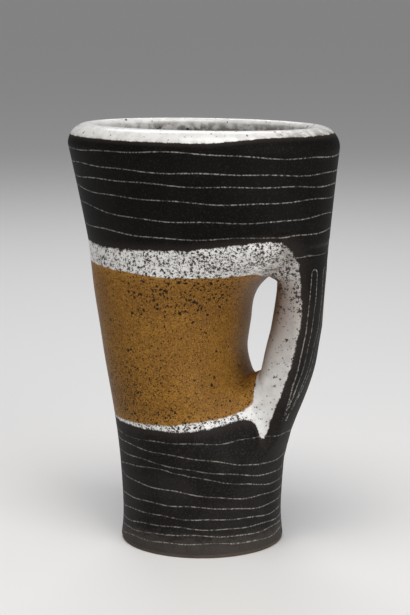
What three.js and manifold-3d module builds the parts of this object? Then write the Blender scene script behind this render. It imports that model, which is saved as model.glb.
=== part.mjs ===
import * as THREE from "three";
import { mergeVertices } from "three/addons/utils/BufferGeometryUtils.js";
import Module from "manifold-3d";

// Tall stoneware beer mug with an oval mouth and a strap handle at one side.
// Millimetres, +Z up, the origin at the centre of the foot, the handle towards +X.
// Sizes are those of the finished, glazed mug.

// Overall
const mugHeight = 165;
const neckRadius = 31.6;
const neckHeight = 0.073 * mugHeight;
const footFlare = 1;
const footRadius = neckRadius + footFlare;
const mouthHalfFar = 57;
const mouthHalfNear = 56;
const mouthHalfDepth = 41.8;
// How late each side flares out on its way from the neck to the mouth; 1 is a straight taper.
const farSideFlare = 1.45;
const handleSideFlare = 1.45;
const depthFlare = 2;

// Clay
const wallThickness = 5;
// The lip is rounded widely up its outside, tightly down its inside, and swells the wall under it.
const lipRadius = 7.5;
const lipInnerRadius = 1.5;
const lipSwellStart = 0.85 * mugHeight;
const floorThickness = 6;
const innerFillet = 6;
const footRecess = 1;
const footRingWidth = 6;
const footEdge = 0.4;
const footBareHeight = 1.6;

// The line of the handle side: it bows out past the taper, for the strap and the shoulder over it.
const handleBow = 8.5;
const bowStart = 0.182 * mugHeight;
const bowFull = 0.46 * mugHeight;
const bowFade = 0.533 * mugHeight;

// The waist pushed in behind the strap, which leaves the finger hole.
const pushDepth = 31.2;
const pushStart = 0.194 * mugHeight;
const pushFull = 0.485 * mugHeight;
const pushEnd = 0.515 * mugHeight;
const pushGone = 0.74 * mugHeight;
// Over 1 the wall stays in for longer and then turns out quickly, to the shoulder over the hole.
const shoulderTurn = 2;

// Strap handle
const strapThickness = 14.3;
const strapLowerGrowth = 2.6;
const strapHalfWidth = 11;
const strapTopFlare = 4.5;
const strapLowTaper = 2.5;
const strapCorner = 3.2;
const strapTop = 0.77 * mugHeight;
const strapBottom = 0.21 * mugHeight;
const holeTop = 0.64 * mugHeight;
const holeBottom = 0.4275 * mugHeight;
const archGrowth = 12;
const archLength = 0.05 * mugHeight;
// How deep the strap reaches into the body's line at its roots, and its face at its very ends.
const rootDepth = 3;
const strapSink = 1.2;

// Coats of slip and glaze
const coatThickness = 0.5;
const lipCoatDepth = 4.2;
const lipCoatRise = 1.9;
const upperSlipEdge = 0.726 * mugHeight;
const upperSlipRise = 4.2;
// The slip dips over the shoulder to meet the stripe down the strap.
const upperSlipDip = 11;
const ochreTopEdge = 0.6775 * mugHeight;
const ochreTopDrop = 2;
const ochreLowEdge = 0.312 * mugHeight;
const ochreLowTilt = 2;
const ochreLowRise = 2.5;
const lowerMargin = 2;
const lowerMarginTilt = 0.7;

// Room left where one solid is cut by its neighbour.
const gap = 0.3;

// Fineness of the meshes
const aroundBody = 36;
const cornerSteps = 3;
const lipRows = 7;

const clayTop = mugHeight - coatThickness;
const lipCentre = clayTop - lipRadius;
const lipFoot = clayTop - lipInnerRadius;

function smoothStep(x, from, to) {
  return THREE.MathUtils.smoothstep(x, from, to);
}

// Half width of the mug on the side away from the handle, on the handle side, and front to back.
function flared(z, mouthHalf, power) {
  if (z < neckHeight) {
    const down = 1 - z / neckHeight;
    return neckRadius + (footRadius - neckRadius) * down * down;
  }
  const up = (z - neckHeight) / (mugHeight - neckHeight);
  return neckRadius + (mouthHalf - neckRadius) * Math.pow(up, power);
}

function handleLine(z) {
  const fade = Math.min(1, (mugHeight - z) / (mugHeight - bowFade));
  return flared(z, mouthHalfNear, handleSideFlare) + handleBow * smoothStep(z, bowStart, bowFull) * fade;
}

function pushedLine(z) {
  const roll = THREE.MathUtils.clamp((z - pushEnd) / (pushGone - pushEnd), 0, 1);
  const turnedOut = smoothStep(Math.pow(roll, shoulderTurn), 0, 1);
  return handleLine(z) - pushDepth * smoothStep(z, pushStart, pushFull) * (1 - turnedOut);
}

// A point of the outside of the mug's body, moved inwards or outwards by grow.
// Each level section is an ellipse, whose middle moves away from the handle where the wall is pushed in.
function bodyPoint(angle, z, grow) {
  const far = flared(z, mouthHalfFar, farSideFlare) + grow;
  const near = pushedLine(z) + grow;
  const half = flared(z, mouthHalfDepth, depthFlare) + grow;
  const x = (near - far) / 2 + ((near + far) / 2) * Math.cos(angle);
  return new THREE.Vector3(x, half * Math.sin(angle), z);
}

// The direction straight out of the body's wall, made level by a share from 0 to 1.
function bodyNormal(angle, z, levelled) {
  const turn = 0.01;
  const rise = 0.5;
  const side = bodyPoint(angle + turn, z, 0).sub(bodyPoint(angle - turn, z, 0));
  const top = Math.min(z + rise, mugHeight);
  const low = Math.max(z - rise, 0);
  const up = bodyPoint(angle, top, 0).sub(bodyPoint(angle, low, 0));
  const normal = side.cross(up).normalize();
  normal.z *= 1 - levelled;
  return normal.normalize();
}

// Borders of the coats: heights that change with the angle from the handle.
function lipCoatLine(angle) {
  return mugHeight - lipCoatDepth + lipCoatRise * smoothStep(Math.cos(angle), 0.3, 0.8);
}

function upperSlipLine(angle) {
  const side = Math.cos(angle);
  const rise = upperSlipRise * smoothStep(side, 0, 0.75);
  return upperSlipEdge + rise - upperSlipDip * smoothStep(side, 0.85, 0.93);
}

function ochreTopLine(angle) {
  return ochreTopEdge - ochreTopDrop * smoothStep(Math.cos(angle), -0.9, 0.2);
}

function ochreLowLine(angle) {
  const side = Math.cos(angle);
  return ochreLowEdge + ochreLowTilt * side + ochreLowRise * smoothStep(side, 0.5, 1);
}

function lowerSlipLine(angle) {
  return ochreLowLine(angle) - lowerMargin - lowerMarginTilt * Math.cos(angle);
}

// How far round the lip, from level, the clay reaches a height.
function lipTurn(z) {
  return Math.asin(THREE.MathUtils.clamp((z - lipCentre) / lipRadius, 0, 1));
}

// One place on the clay in one column: the point, and the direction out of the clay there.
function outsidePlace(angle, z) {
  if (z > lipCentre) return lipPlace(angle, lipTurn(z));
  const levelled = 1 - smoothStep(z, floorThickness, neckHeight);
  return { point: bodyPoint(angle, z, -coatThickness), out: bodyNormal(angle, z, levelled) };
}

function lipPlace(angle, turn) {
  const out = bodyNormal(angle, lipCentre, 1);
  const middle = bodyPoint(angle, lipCentre, -coatThickness).addScaledVector(out, -lipRadius);
  const radius = turn > Math.PI / 2 ? lipInnerRadius : lipRadius;
  middle.z = clayTop - radius;
  const way = out.clone().multiplyScalar(Math.cos(turn)).add(new THREE.Vector3(0, 0, Math.sin(turn)));
  return { point: middle.addScaledVector(way, radius), out: way };
}

function insidePlace(angle, z) {
  const levelled = 1 - smoothStep(z, floorThickness, floorThickness + 2 * innerFillet);
  const out = bodyNormal(angle, z, levelled);
  const corner = Math.max(0, 1 - (z - floorThickness) / innerFillet);
  const swell = (lipRadius + lipInnerRadius - wallThickness) * smoothStep(z, lipSwellStart, lipFoot);
  const thick = wallThickness + innerFillet * corner * corner * 0.7 + swell;
  const point = bodyPoint(angle, z, -coatThickness).addScaledVector(out, -thick);
  if (z === floorThickness) point.z = floorThickness;
  return { point, out: out.negate() };
}

// A border from one line to another in steps; bend under 1 crowds the steps near the far end.
function stepsBetween(lowLine, highLine, count, bend) {
  return Array.from({ length: count }, (_, i) => (angle) => {
    const share = Math.pow((i + 1) / count, bend);
    return THREE.MathUtils.lerp(lowLine(angle), highLine(angle), share);
  });
}

const level = (z) => () => z;
const angles = Array.from({ length: aroundBody }, (_, i) => (i * 2 * Math.PI) / aroundBody);

function ring(place, line) {
  return angles.map((angle) => place(angle, line(angle)));
}

// Rings of places up the outside, in the groups that the coats cover.
const slabRings = [level(footBareHeight), level(floorThickness)].map((l) => ring(outsidePlace, l));
const lowerSlipRings = [level(neckHeight), ...stepsBetween(level(neckHeight), lowerSlipLine, 4, 1)].map((l) =>
  ring(outsidePlace, l),
);
const lowerMarginRings = stepsBetween(lowerSlipLine, ochreLowLine, 1, 1).map((l) => ring(outsidePlace, l));
const ochreRings = stepsBetween(ochreLowLine, ochreTopLine, 10, 0.75).map((l) => ring(outsidePlace, l));
const upperMarginRings = stepsBetween(ochreTopLine, upperSlipLine, 4, 1).map((l) => ring(outsidePlace, l));
const upperSlipRings = stepsBetween(upperSlipLine, lipCoatLine, 5, 1.1).map((l) => ring(outsidePlace, l));
// The liner's own rings start above its edge, which is part of the way round the lip near the handle.
const lipRings = Array.from({ length: lipRows }, (_, i) =>
  angles.map((angle) => {
    const start = lipTurn(lipCoatLine(angle));
    return lipPlace(angle, THREE.MathUtils.lerp(start, Math.PI, (i + 1) / lipRows));
  }),
);
const insideShares = [0.955, 0.9, 0.83, 0.77, 0.72, 0.67, 0.62, 0.54, 0.44, 0.34, 0.24, 0.16, 0.1, 0.06];
const insideRings = [...insideShares.map((share) => share * mugHeight), floorThickness].map((z) =>
  ring(insidePlace, level(z)),
);

const points = (rings) => rings.map((places) => places.map((place) => place.point));
const coated = (rings) =>
  rings.map((places) => places.map((place) => place.point.clone().addScaledVector(place.out, coatThickness)));

// Two triangles for a face with the corners a, b, c, d, split the same way from whichever side
// it is met, so that a coat and the clay under it share their triangles as well as their points.
function splitFace(all, faces, a, b, c, d) {
  const first = all[a].distanceToSquared(all[c]);
  const second = all[b].distanceToSquared(all[d]);
  const lower = (p, q) => all[p].z - all[q].z || all[p].x - all[q].x || all[p].y - all[q].y;
  const lowest = [a, b, c, d].sort(lower)[0];
  const firstWins = first === second ? lowest === a || lowest === c : first < second;
  if (firstWins) faces.push(a, b, c, a, c, d);
  else faces.push(a, b, d, b, c, d);
}

// A closed mesh of rings one after the other. It either joins the last ring to the first,
// or shuts each end with a fan to its middle point.
function ringMesh(rings, looped) {
  const size = rings[0].length;
  const all = rings.flat();
  const faces = [];
  const last = looped ? rings.length : rings.length - 1;
  for (let i = 0; i < last; i++) {
    const next = (i + 1) % rings.length;
    for (let j = 0; j < size; j++) {
      const side = (j + 1) % size;
      splitFace(all, faces, i * size + j, i * size + side, next * size + side, next * size + j);
    }
  }
  if (!looped) {
    const middleOf = (places) =>
      places.reduce((sum, p) => sum.add(p), new THREE.Vector3()).divideScalar(places.length);
    const start = all.push(middleOf(rings[0])) - 1;
    const end = all.push(middleOf(rings[rings.length - 1])) - 1;
    const top = (rings.length - 1) * size;
    for (let j = 0; j < size; j++) {
      const side = (j + 1) % size;
      faces.push(start, side, j);
      faces.push(end, top + j, top + side);
    }
  }
  const geometry = new THREE.BufferGeometry().setFromPoints(all);
  geometry.setIndex(faces);
  return geometry;
}

const wasm = await Module();
wasm.setup();

// A closed geometry as a solid that can be cut, and a cut solid as a geometry.
function solid(geometry) {
  const welded = mergeVertices(geometry, 1e-4);
  const mesh = new wasm.Mesh({
    numProp: 3,
    vertProperties: welded.attributes.position.array,
    triVerts: new Uint32Array(welded.index.array),
  });
  return new wasm.Manifold(mesh);
}

function geometryOf(cutSolid) {
  const mesh = cutSolid.getMesh();
  const geometry = new THREE.BufferGeometry();
  geometry.setAttribute("position", new THREE.BufferAttribute(mesh.vertProperties, 3));
  geometry.setIndex(new THREE.BufferAttribute(mesh.triVerts, 1));
  return geometry;
}

// Strap handle: level sections between an inner and an outer line, the outer on the mug's own line.
function strapSection(z, grow) {
  const sink = Math.max(smoothStep(z, holeTop, strapTop), 1 - smoothStep(z, strapBottom, 1.25 * strapBottom));
  const outer = handleLine(z) - strapSink * sink;
  const lowerShare = 1 - smoothStep(z, holeBottom, holeTop);
  const topArch = smoothStep(z, holeTop, holeTop + archLength);
  const lowArch = 1 - smoothStep(z, holeBottom - archLength, holeBottom);
  const thick = strapThickness + strapLowerGrowth * lowerShare + archGrowth * Math.max(topArch, lowArch);
  const topWide = strapTopFlare * smoothStep(z, 0.95 * holeTop, strapTop);
  const lowNarrow = strapLowTaper * (1 - smoothStep(z, strapBottom, holeBottom));
  const embedded = Math.min(pushedLine(z), outer - 0.5 * strapThickness) - rootDepth;
  return {
    inner: Math.max(outer - thick, embedded) - grow,
    outer: outer + grow,
    halfWidth: strapHalfWidth + topWide - lowNarrow + grow,
  };
}

// How far the mug's unpushed outline falls back at a distance to the side of its middle.
function outlineDrop(z, aside) {
  const reach = (flared(z, mouthHalfFar, farSideFlare) + handleLine(z)) / 2;
  const half = flared(z, mouthHalfDepth, depthFlare);
  return reach * (1 - Math.sqrt(1 - Math.pow(Math.min(Math.abs(aside) / half, 1), 2)));
}

// Points round one section, from the middle of its inner face, with round corners. The outer face
// follows the curve of the mug's outline.
function strapRing(z, grow) {
  const { inner, outer, halfWidth } = strapSection(z, grow);
  const radius = Math.min(strapCorner + grow, 0.45 * (outer - inner));
  const flat = halfWidth - radius;
  const ring = [];
  const put = (x, y, curve) => ring.push(new THREE.Vector3(x - curve * outlineDrop(z, y), y, z));
  const putCorner = (x, y, start, curve) => {
    for (let i = 0; i <= cornerSteps; i++) {
      const turn = start + (i * Math.PI) / 2 / cornerSteps;
      put(x + radius * Math.cos(turn), y + radius * Math.sin(turn), curve);
    }
  };
  put(inner, 0, 0);
  put(inner, -flat / 2, 0);
  putCorner(inner + radius, -flat, Math.PI, 0);
  put((inner + outer) / 2, -halfWidth, 0.5);
  putCorner(outer - radius, -flat, 1.5 * Math.PI, 1);
  put(outer, -flat / 2, 1);
  put(outer, 0, 1);
  put(outer, flat / 2, 1);
  putCorner(outer - radius, flat, 0, 1);
  put((inner + outer) / 2, halfWidth, 0.5);
  putCorner(inner + radius, flat, 0.5 * Math.PI, 0);
  put(inner, flat / 2, 0);
  return ring;
}

// The slip stripe covers the outer face, from one step into each of its round corners.
const aroundStrap = 4 * (cornerSteps + 1) + 8;
const stripeStart = cornerSteps + 5;
const stripeEnd = aroundStrap - stripeStart;

const strapSpans = [
  [strapBottom, holeBottom - archLength, 4],
  [holeBottom - archLength, holeBottom, 5],
  [holeBottom, holeTop, 4],
  [holeTop, holeTop + archLength, 5],
  [holeTop + archLength, strapTop, 3],
];
const strapLevels = [
  strapBottom,
  ...strapSpans.flatMap(([from, to, count]) =>
    Array.from({ length: count }, (_, i) => THREE.MathUtils.lerp(from, to, (i + 1) / count)),
  ),
];
const strapRings = (grow) => strapLevels.map((z) => strapRing(z, grow));

// A coat over some of the columns of the strap, its inner side on the clay's own points.
function strapCoat(firstColumn, lastColumn) {
  const clay = strapRings(-coatThickness);
  const face = strapRings(0);
  const rings = strapLevels.map((_, row) => {
    const loop = [];
    for (let j = firstColumn; j <= lastColumn; j++) loop.push(face[row][j % aroundStrap]);
    for (let j = lastColumn; j >= firstColumn; j--) loop.push(clay[row][j % aroundStrap]);
    return loop;
  });
  return coatMesh(rings);
}

// A closed mesh of loops, each end shut by a strip between the two sides of its coat.
function coatMesh(loops) {
  const size = loops[0].length;
  const all = loops.flat();
  const faces = [];
  for (let i = 0; i < loops.length - 1; i++) {
    for (let j = 0; j < size; j++) {
      const side = (j + 1) % size;
      const above = (i + 1) * size;
      splitFace(all, faces, i * size + j, i * size + side, above + side, above + j);
    }
  }
  const top = (loops.length - 1) * size;
  for (let j = 0; j < size / 2 - 1; j++) {
    const back = size - 1 - j;
    faces.push(j, back, j + 1, j + 1, back, back - 1);
    faces.push(top + j, top + j + 1, top + back, top + j + 1, top + back - 1, top + back);
  }
  const geometry = new THREE.BufferGeometry().setFromPoints(all);
  geometry.setIndex(faces);
  return geometry;
}

// Body: slab floor
const shrunk = (places, share, z) => places.map((p) => new THREE.Vector3(p.x * share, p.y * share, z));
const footRing = angles.map((angle) => bodyPoint(angle, 0, -coatThickness));
const footShare = (width) => 1 - width / footRadius;
const slabTop = slabRings[1].map((place) => place.point);
const slabGeometry = ringMesh(
  [
    shrunk(footRing, footShare(footEdge + footRingWidth + footRecess), footRecess),
    shrunk(footRing, footShare(footEdge + footRingWidth), 0),
    shrunk(footRing, footShare(footEdge), 0),
    ...points(slabRings),
  ],
  false,
);

// Body: the thrown wall, a ring that stands on the slab
const outerClay = [
  slabRings[1],
  ...lowerSlipRings,
  ...lowerMarginRings,
  ...ochreRings,
  ...upperMarginRings,
  ...upperSlipRings,
  ...lipRings,
];
const wallGeometry = ringMesh(points([...outerClay, ...insideRings]), true);

// A coat round the outside of the body: its outer side up, then its clay side down.
const bandMesh = (rings) => ringMesh([...coated(rings), ...points(rings).reverse()], true);
const lastOf = (rings) => rings[rings.length - 1];

// The liner runs from its edge under the lip, over the lip and down the inside, and over the floor.
const linerRings = [lastOf(upperSlipRings), ...lipRings, ...insideRings];
const linerClay = points(linerRings);
const linerFace = coated(linerRings);
const floorFace = lastOf(linerFace).map((p) => new THREE.Vector3(p.x, p.y, floorThickness + coatThickness));
linerFace.pop();
const floorShare = 0.5;
const linerGeometry = ringMesh(
  [
    shrunk(lastOf(linerClay), floorShare, floorThickness),
    ...linerClay.reverse(),
    ...linerFace,
    floorFace,
    shrunk(floorFace, floorShare, floorThickness + coatThickness),
  ],
  false,
);

// Cutters: the strap grown by its room, and the whole body grown by its room.
const strapCutter = solid(ringMesh(strapRings(gap), false));
const grown = (rings) =>
  rings.map((places) => places.map((place) => place.point.clone().addScaledVector(place.out, gap)));
const bodyRings = [slabRings, lowerSlipRings, lowerMarginRings, ochreRings, upperMarginRings, upperSlipRings];
const bodyCutter = solid(ringMesh(grown(bodyRings.flat()), false));

const cutByStrap = (geometry) => geometryOf(solid(geometry).subtract(strapCutter));
const cutByBody = (geometry) => geometryOf(solid(geometry).subtract(bodyCutter));

const stoneware = new THREE.MeshStandardMaterial({ color: "#4a3a30", roughness: 0.85, metalness: 0 });
const whiteGlaze = new THREE.MeshStandardMaterial({ color: "#d9d6d2", roughness: 0.35, metalness: 0 });
const blackSlip = new THREE.MeshStandardMaterial({ color: "#211e1d", roughness: 0.6, metalness: 0 });
const ochreGlaze = new THREE.MeshStandardMaterial({ color: "#9a6a2e", roughness: 0.45, metalness: 0 });

const mug = new THREE.Group();

function addPiece(name, geometry, material) {
  geometry.computeVertexNormals();
  const mesh = new THREE.Mesh(geometry, material);
  mesh.name = name;
  mug.add(mesh);
}

addPiece("floor_slab", slabGeometry, stoneware);
addPiece("thrown_wall", wallGeometry, stoneware);
addPiece("handle_strap", cutByBody(ringMesh(strapRings(-coatThickness), false)), stoneware);
addPiece("liner_glaze", linerGeometry, whiteGlaze);
addPiece("upper_slip_band", cutByStrap(bandMesh([lastOf(upperMarginRings), ...upperSlipRings])), blackSlip);
addPiece("upper_white_margin", cutByStrap(bandMesh([lastOf(ochreRings), ...upperMarginRings])), whiteGlaze);
addPiece("ochre_glaze", cutByStrap(bandMesh([lastOf(lowerMarginRings), ...ochreRings])), ochreGlaze);
addPiece("lower_white_margin", cutByStrap(bandMesh([lastOf(lowerSlipRings), ...lowerMarginRings])), whiteGlaze);
addPiece("lower_slip_band", cutByStrap(bandMesh([...slabRings, ...lowerSlipRings])), blackSlip);
addPiece(
  "handle_white_glaze",
  cutByBody(strapCoat(stripeEnd, aroundStrap + stripeStart)),
  whiteGlaze,
);
addPiece("handle_slip_stripe", cutByBody(strapCoat(stripeStart, stripeEnd)), blackSlip);

export default mug;
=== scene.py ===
import math

import bmesh
import bpy
import mathutils
import numpy as np
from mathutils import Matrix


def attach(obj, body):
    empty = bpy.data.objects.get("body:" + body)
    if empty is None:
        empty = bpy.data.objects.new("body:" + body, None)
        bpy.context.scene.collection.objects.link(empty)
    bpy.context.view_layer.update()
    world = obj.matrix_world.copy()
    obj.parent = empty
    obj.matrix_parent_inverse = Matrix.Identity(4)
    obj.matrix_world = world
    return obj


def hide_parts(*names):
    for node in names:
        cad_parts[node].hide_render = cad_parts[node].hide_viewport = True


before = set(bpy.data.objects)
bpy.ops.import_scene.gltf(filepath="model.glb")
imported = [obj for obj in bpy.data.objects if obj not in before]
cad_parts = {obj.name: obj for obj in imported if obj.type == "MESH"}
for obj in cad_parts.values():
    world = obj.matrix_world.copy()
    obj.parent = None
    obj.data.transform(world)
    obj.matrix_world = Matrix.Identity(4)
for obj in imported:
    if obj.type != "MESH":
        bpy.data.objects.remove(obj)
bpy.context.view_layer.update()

# The thrown wall and the strap, as one skin. The wall is stoneware thrown as a round cylinder, eased to
# an oval mouth and pushed in at the waist. The strap is a flat pull of the same clay over that waist,
# and both its roots are smoothed into the wall with a wet thumb, so the coats run over them unbroken.
MM = 0.001
height = 165.0
neck_radius = 31.6
neck_height = 0.073 * height
foot_radius = 32.6
foot_bare = 1.6
mouth_half_far = 57.0
mouth_half_near = 56.0
mouth_half_depth = 41.8
side_lateness = 1.45
depth_lateness = 2.0
lip_radius = 8.0
lip_inner_radius = 2.0
lip_centre = height - lip_radius
bow_depth = 8.5
bow_start = 0.182 * height
bow_full = 0.46 * height
bow_fade = 0.467 * height
push_depth = 31.2
push_start = 0.194 * height
push_full = 0.475 * height
shoulder_start = 0.515 * height
shoulder_length = 0.225 * height


def ease(x, low, high):
    """A smooth rise from nought to one between two values."""
    share = np.clip((x - low) / (high - low), 0, 1)
    return share * share * (3 - 2 * share)


def flared(z, mouth_half, lateness):
    """Half of a width at each height: flared at the foot, then opening to the mouth, sooner or later."""
    down = np.clip(1 - z / neck_height, 0, None)
    up = np.clip((z - neck_height) / (height - neck_height), 0, None)
    foot = (foot_radius - neck_radius) * down * down
    return neck_radius + foot + (mouth_half - neck_radius) * up**lateness


def handle_line(z):
    """How far out the strap's face lies at each height: the wall's own line, bowed out."""
    bow = bow_depth * ease(z, bow_start, bow_full)
    flare = flared(z, mouth_half_near, side_lateness)
    return flare + bow * np.minimum(1, (height - z) / bow_fade)


def pushed_line(z):
    """How far out the wall lies behind the strap, pushed in at the waist."""
    roll = np.clip((z - shoulder_start) / shoulder_length, 0, 1)
    pushed = ease(z, push_start, push_full) * (1 - ease(roll**2, 0, 1))
    return handle_line(z) - push_depth * pushed


def wall_outline(z):
    """Middle, half length and half depth of the wall's oval at each height, with the lip rolled in."""
    level = np.minimum(z, lip_centre)
    rise = np.clip((z - lip_centre) / lip_radius, 0, 1)
    rolled = lip_radius * (1 - np.sqrt(1 - rise * rise))
    far = flared(level, mouth_half_far, side_lateness) - rolled
    near = pushed_line(level) - rolled
    half = flared(level, mouth_half_depth, depth_lateness) - rolled
    return (near - far) / 2, (near + far) / 2, half


def around_wall(x, y, z):
    """How far out a point is, with 1 on the wall, and its angle from the handle."""
    middle, length, depth = wall_outline(z)
    along = (x - middle) / length
    across = y / depth
    return np.hypot(along, across), np.arctan2(across, along)


# The strap's own sizes: its ends and the hole's, its section, then how its roots sink and flare.
strap_top = 0.77 * height
strap_bottom = 0.21 * height
hole_top = 0.648 * height
hole_bottom = 0.438 * height
arch_length = 0.05 * height
arch_depth = 12.0
saddle_round = 0.05
saddle_limit = 120.0
strap_thickness = 15.4
strap_growth = 2.6
strap_half_width = 11.0
strap_edge = 3.6
strap_inner_edge = 6.0
embedding = 3.0
low_root_sink = 0.3
high_root_sink = 1.2
end_sink = 1.0
end_sink_start = 121.0
low_taper_width = 2.5
shoulder_flare = 4.5
root_flare = 8.0
low_flare_end = 47.0
high_flare_start = 112.0
high_flare_full = 125.0


def strap_lines(z, aside=0.0):
    """The strap's inner face, outer face and half width at each height. The finger hole's two ends are
    rounded over like saddles, so that they lie further apart towards the strap's edges."""
    inside = np.clip(z, strap_bottom, strap_top)
    low_root = 1 - ease(inside, strap_bottom, 1.25 * strap_bottom)
    high_root = ease(inside, hole_top, strap_top)
    high_end = ease(inside, end_sink_start, strap_top)
    sunk = low_root_sink * low_root
    outer = handle_line(inside) - sunk - high_root_sink * high_root - end_sink * high_end
    saddle = saddle_round * np.minimum(aside * aside, saddle_limit)
    top_arch = np.clip((inside - 0.6 * saddle - hole_top) / (0.8 * arch_length), 0, 1) ** 2
    low_arch = 1 - ease(inside + saddle, hole_bottom - arch_length, hole_bottom)
    lower_growth = strap_growth * (1 - ease(inside, hole_bottom, hole_top))
    thick = strap_thickness + lower_growth + arch_depth * np.maximum(top_arch, low_arch)
    embedded = np.minimum(pushed_line(inside), outer - 0.5 * strap_thickness) - embedding
    inner = np.maximum(outer - thick, embedded)
    top_flare = shoulder_flare * ease(inside, 0.95 * hole_top, strap_top)
    top_flare = top_flare + root_flare * ease(inside, high_flare_start, high_flare_full)
    low_taper = low_taper_width * (1 - ease(inside, strap_bottom, hole_bottom))
    low_flare = root_flare * (1 - ease(inside, strap_bottom, low_flare_end))
    return inner, outer, strap_half_width + top_flare + low_flare - low_taper


def curved_back(y, z):
    """How far the wall's curve has fallen back at a distance aside of its middle line."""
    reach = (flared(z, mouth_half_far, side_lateness) + handle_line(z)) / 2
    aside = np.clip(np.abs(y) / flared(z, mouth_half_depth, depth_lateness), 0, 0.95)
    return reach * (1 - np.sqrt(1 - aside * aside))


def strap_depth(x, y, z):
    """Distance out of the strap within one level, with round edges and its face on the wall's curve."""
    inside = np.clip(z, strap_bottom, strap_top)
    inner, outer, half_width = strap_lines(inside, y)
    outward = np.clip((x - inner) / (outer - inner), 0, 1)
    middle = (inner + outer) / 2
    from_middle = x + outward * curved_back(y, inside) - middle
    edge = np.where(from_middle > 0, strap_edge, strap_inner_edge)
    edge = np.minimum(edge, 0.45 * (outer - inner))
    past_face = np.abs(from_middle) - ((outer - inner) / 2 - edge)
    past_side = np.abs(y) - (half_width - edge)
    corner = np.hypot(np.clip(past_face, 0, None), np.clip(past_side, 0, None))
    level_depth = corner + np.minimum(np.maximum(past_face, past_side), 0) - edge
    past_end = np.maximum(z - strap_top, strap_bottom - z)
    return np.where(past_end > 0, np.maximum(level_depth, 0) + past_end, level_depth)


def slopes(field, p, step):
    """A field's slope at each point, by central differences."""
    parts = []
    for axis in range(3):
        ahead = p.copy()
        behind = p.copy()
        ahead[:, axis] += step
        behind[:, axis] -= step
        parts.append((field(ahead) - field(behind)) / (2 * step))
    return np.stack(parts, 1)


def wall_field(p):
    return around_wall(p[:, 0], p[:, 1], p[:, 2])[0] - 1


def strap_field(p):
    return strap_depth(p[:, 0], p[:, 1], p[:, 2])


# Where strap and wall meet: the fillets that a thumb leaves, the heights and the places aside between
# which each gives way to the next, and the room in which the strap matters at all.
root_fillet = 14.0
thumb_fillet = 13.0
hole_fillet = 2.5
seam_fillet = 1.5
root_full = 68.0
root_end = 90.0
hole_aside = 6.0
thumb_aside = 14.0
low_end = 30.0
low_end_full = 38.0
high_end_full = 118.0
face_behind = 1.0
face_full = 7.0
strap_near_x = 5.0
strap_near_low = 20.0
strap_near_high = 145.0


def skin_field(p):
    """Distance out of wall and strap together. Where they meet at an angle the thumb fillet fills the
    corner: widest at the lower root, thin in the finger hole and at the strap's ends. Where they run
    side by side, as on the strap's outer face, next to nothing is added."""
    wall_slope = slopes(wall_field, p, 0.05)
    wall_steep = np.linalg.norm(wall_slope, axis=1) + 1e-9
    wall = wall_field(p) / wall_steep
    near = (p[:, 0] > strap_near_x) & (p[:, 2] > strap_near_low) & (p[:, 2] < strap_near_high)
    joined = wall.copy()
    if near.any():
        q = p[near]
        strap_slope = slopes(strap_field, q, 0.05)
        strap_steep = np.maximum(np.linalg.norm(strap_slope, axis=1), 0.3)
        strap = strap_field(q) / strap_steep
        agree = np.sum(wall_slope[near] * strap_slope, 1) / (wall_steep[near] * strap_steep)
        low_down = 1 - ease(q[:, 2], root_full, root_end)
        thumbed = thumb_fillet + (root_fillet - thumb_fillet) * low_down
        outside = ease(np.abs(q[:, 1]), hole_aside, thumb_aside)
        fillet = hole_fillet + (thumbed - hole_fillet) * outside
        ends = ease(q[:, 2], low_end, low_end_full)
        ends = ends * (1 - ease(q[:, 2], high_end_full, strap_top))
        behind_face = handle_line(q[:, 2]) - curved_back(q[:, 1], q[:, 2]) - q[:, 0]
        faced = ease(behind_face, face_behind, face_full)
        fillet = seam_fillet + (fillet - seam_fillet) * ends * faced
        overlap = np.clip(fillet - np.abs(wall[near] - strap), 0, None) / fillet
        filled = overlap * overlap * fillet / 4 * np.clip(1 - agree, 0, 1)
        joined[near] = np.minimum(wall[near], strap) - filled
    return joined


def settle_on_skin(p, rounds):
    """Moves points straight to the skin's surface, by 1.5 mm a round at most."""
    longest = 1.5
    p = p.copy()
    for _ in range(rounds):
        slope = slopes(skin_field, p, 0.1)
        steep = np.maximum(np.sum(slope * slope, 1), 0.1)
        move = -skin_field(p)[:, None] * slope / steep[:, None]
        length = np.linalg.norm(move, axis=1)
        move *= np.minimum(1, longest / np.maximum(length, 1e-9))[:, None]
        p += move
    return p


def skin_normals(p):
    """The way straight out of the skin, taken over 1 mm so that a sharp corner shades softly."""
    slope = slopes(skin_field, p, 0.5)
    return slope / np.maximum(np.linalg.norm(slope, axis=1), 1e-9)[:, None]


def coordinates(bm):
    """A bmesh's points, in millimetres."""
    return np.array([v.co[:] for v in bm.verts]) / MM


def place(bm, p):
    for vert, where in zip(bm.verts, p * MM):
        vert.co = where


def linked(bm, name):
    """Makes a finished bmesh an object of the scene."""
    mesh = bpy.data.meshes.new(name)
    bm.to_mesh(mesh)
    bm.free()
    made = bpy.data.objects.new(name, mesh)
    bpy.context.scene.collection.objects.link(made)
    return made


def closed_column(bm, segments, levels, open_start=False):
    """An upright column of unit circles at the given heights, closed at its ends, to be shaped after."""
    start = len(bm.verts)
    ring = bmesh.ops.create_circle(bm, cap_ends=True, radius=1, segments=segments)["verts"]
    for vert in ring:
        vert.co.z = levels[0]
    first = cap = next(face for face in ring[0].link_faces)
    for z in levels[1:]:
        drawn = bmesh.ops.extrude_face_region(bm, geom=[cap, *cap.edges, *cap.verts])["geom"]
        cap = next(part for part in drawn if isinstance(part, bmesh.types.BMFace))
        for vert in cap.verts:
            vert.co.z = z
    if open_start:
        bmesh.ops.delete(bm, geom=[first], context="FACES_ONLY")
    bm.verts.ensure_lookup_table()
    return bm.verts[start:]


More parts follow.
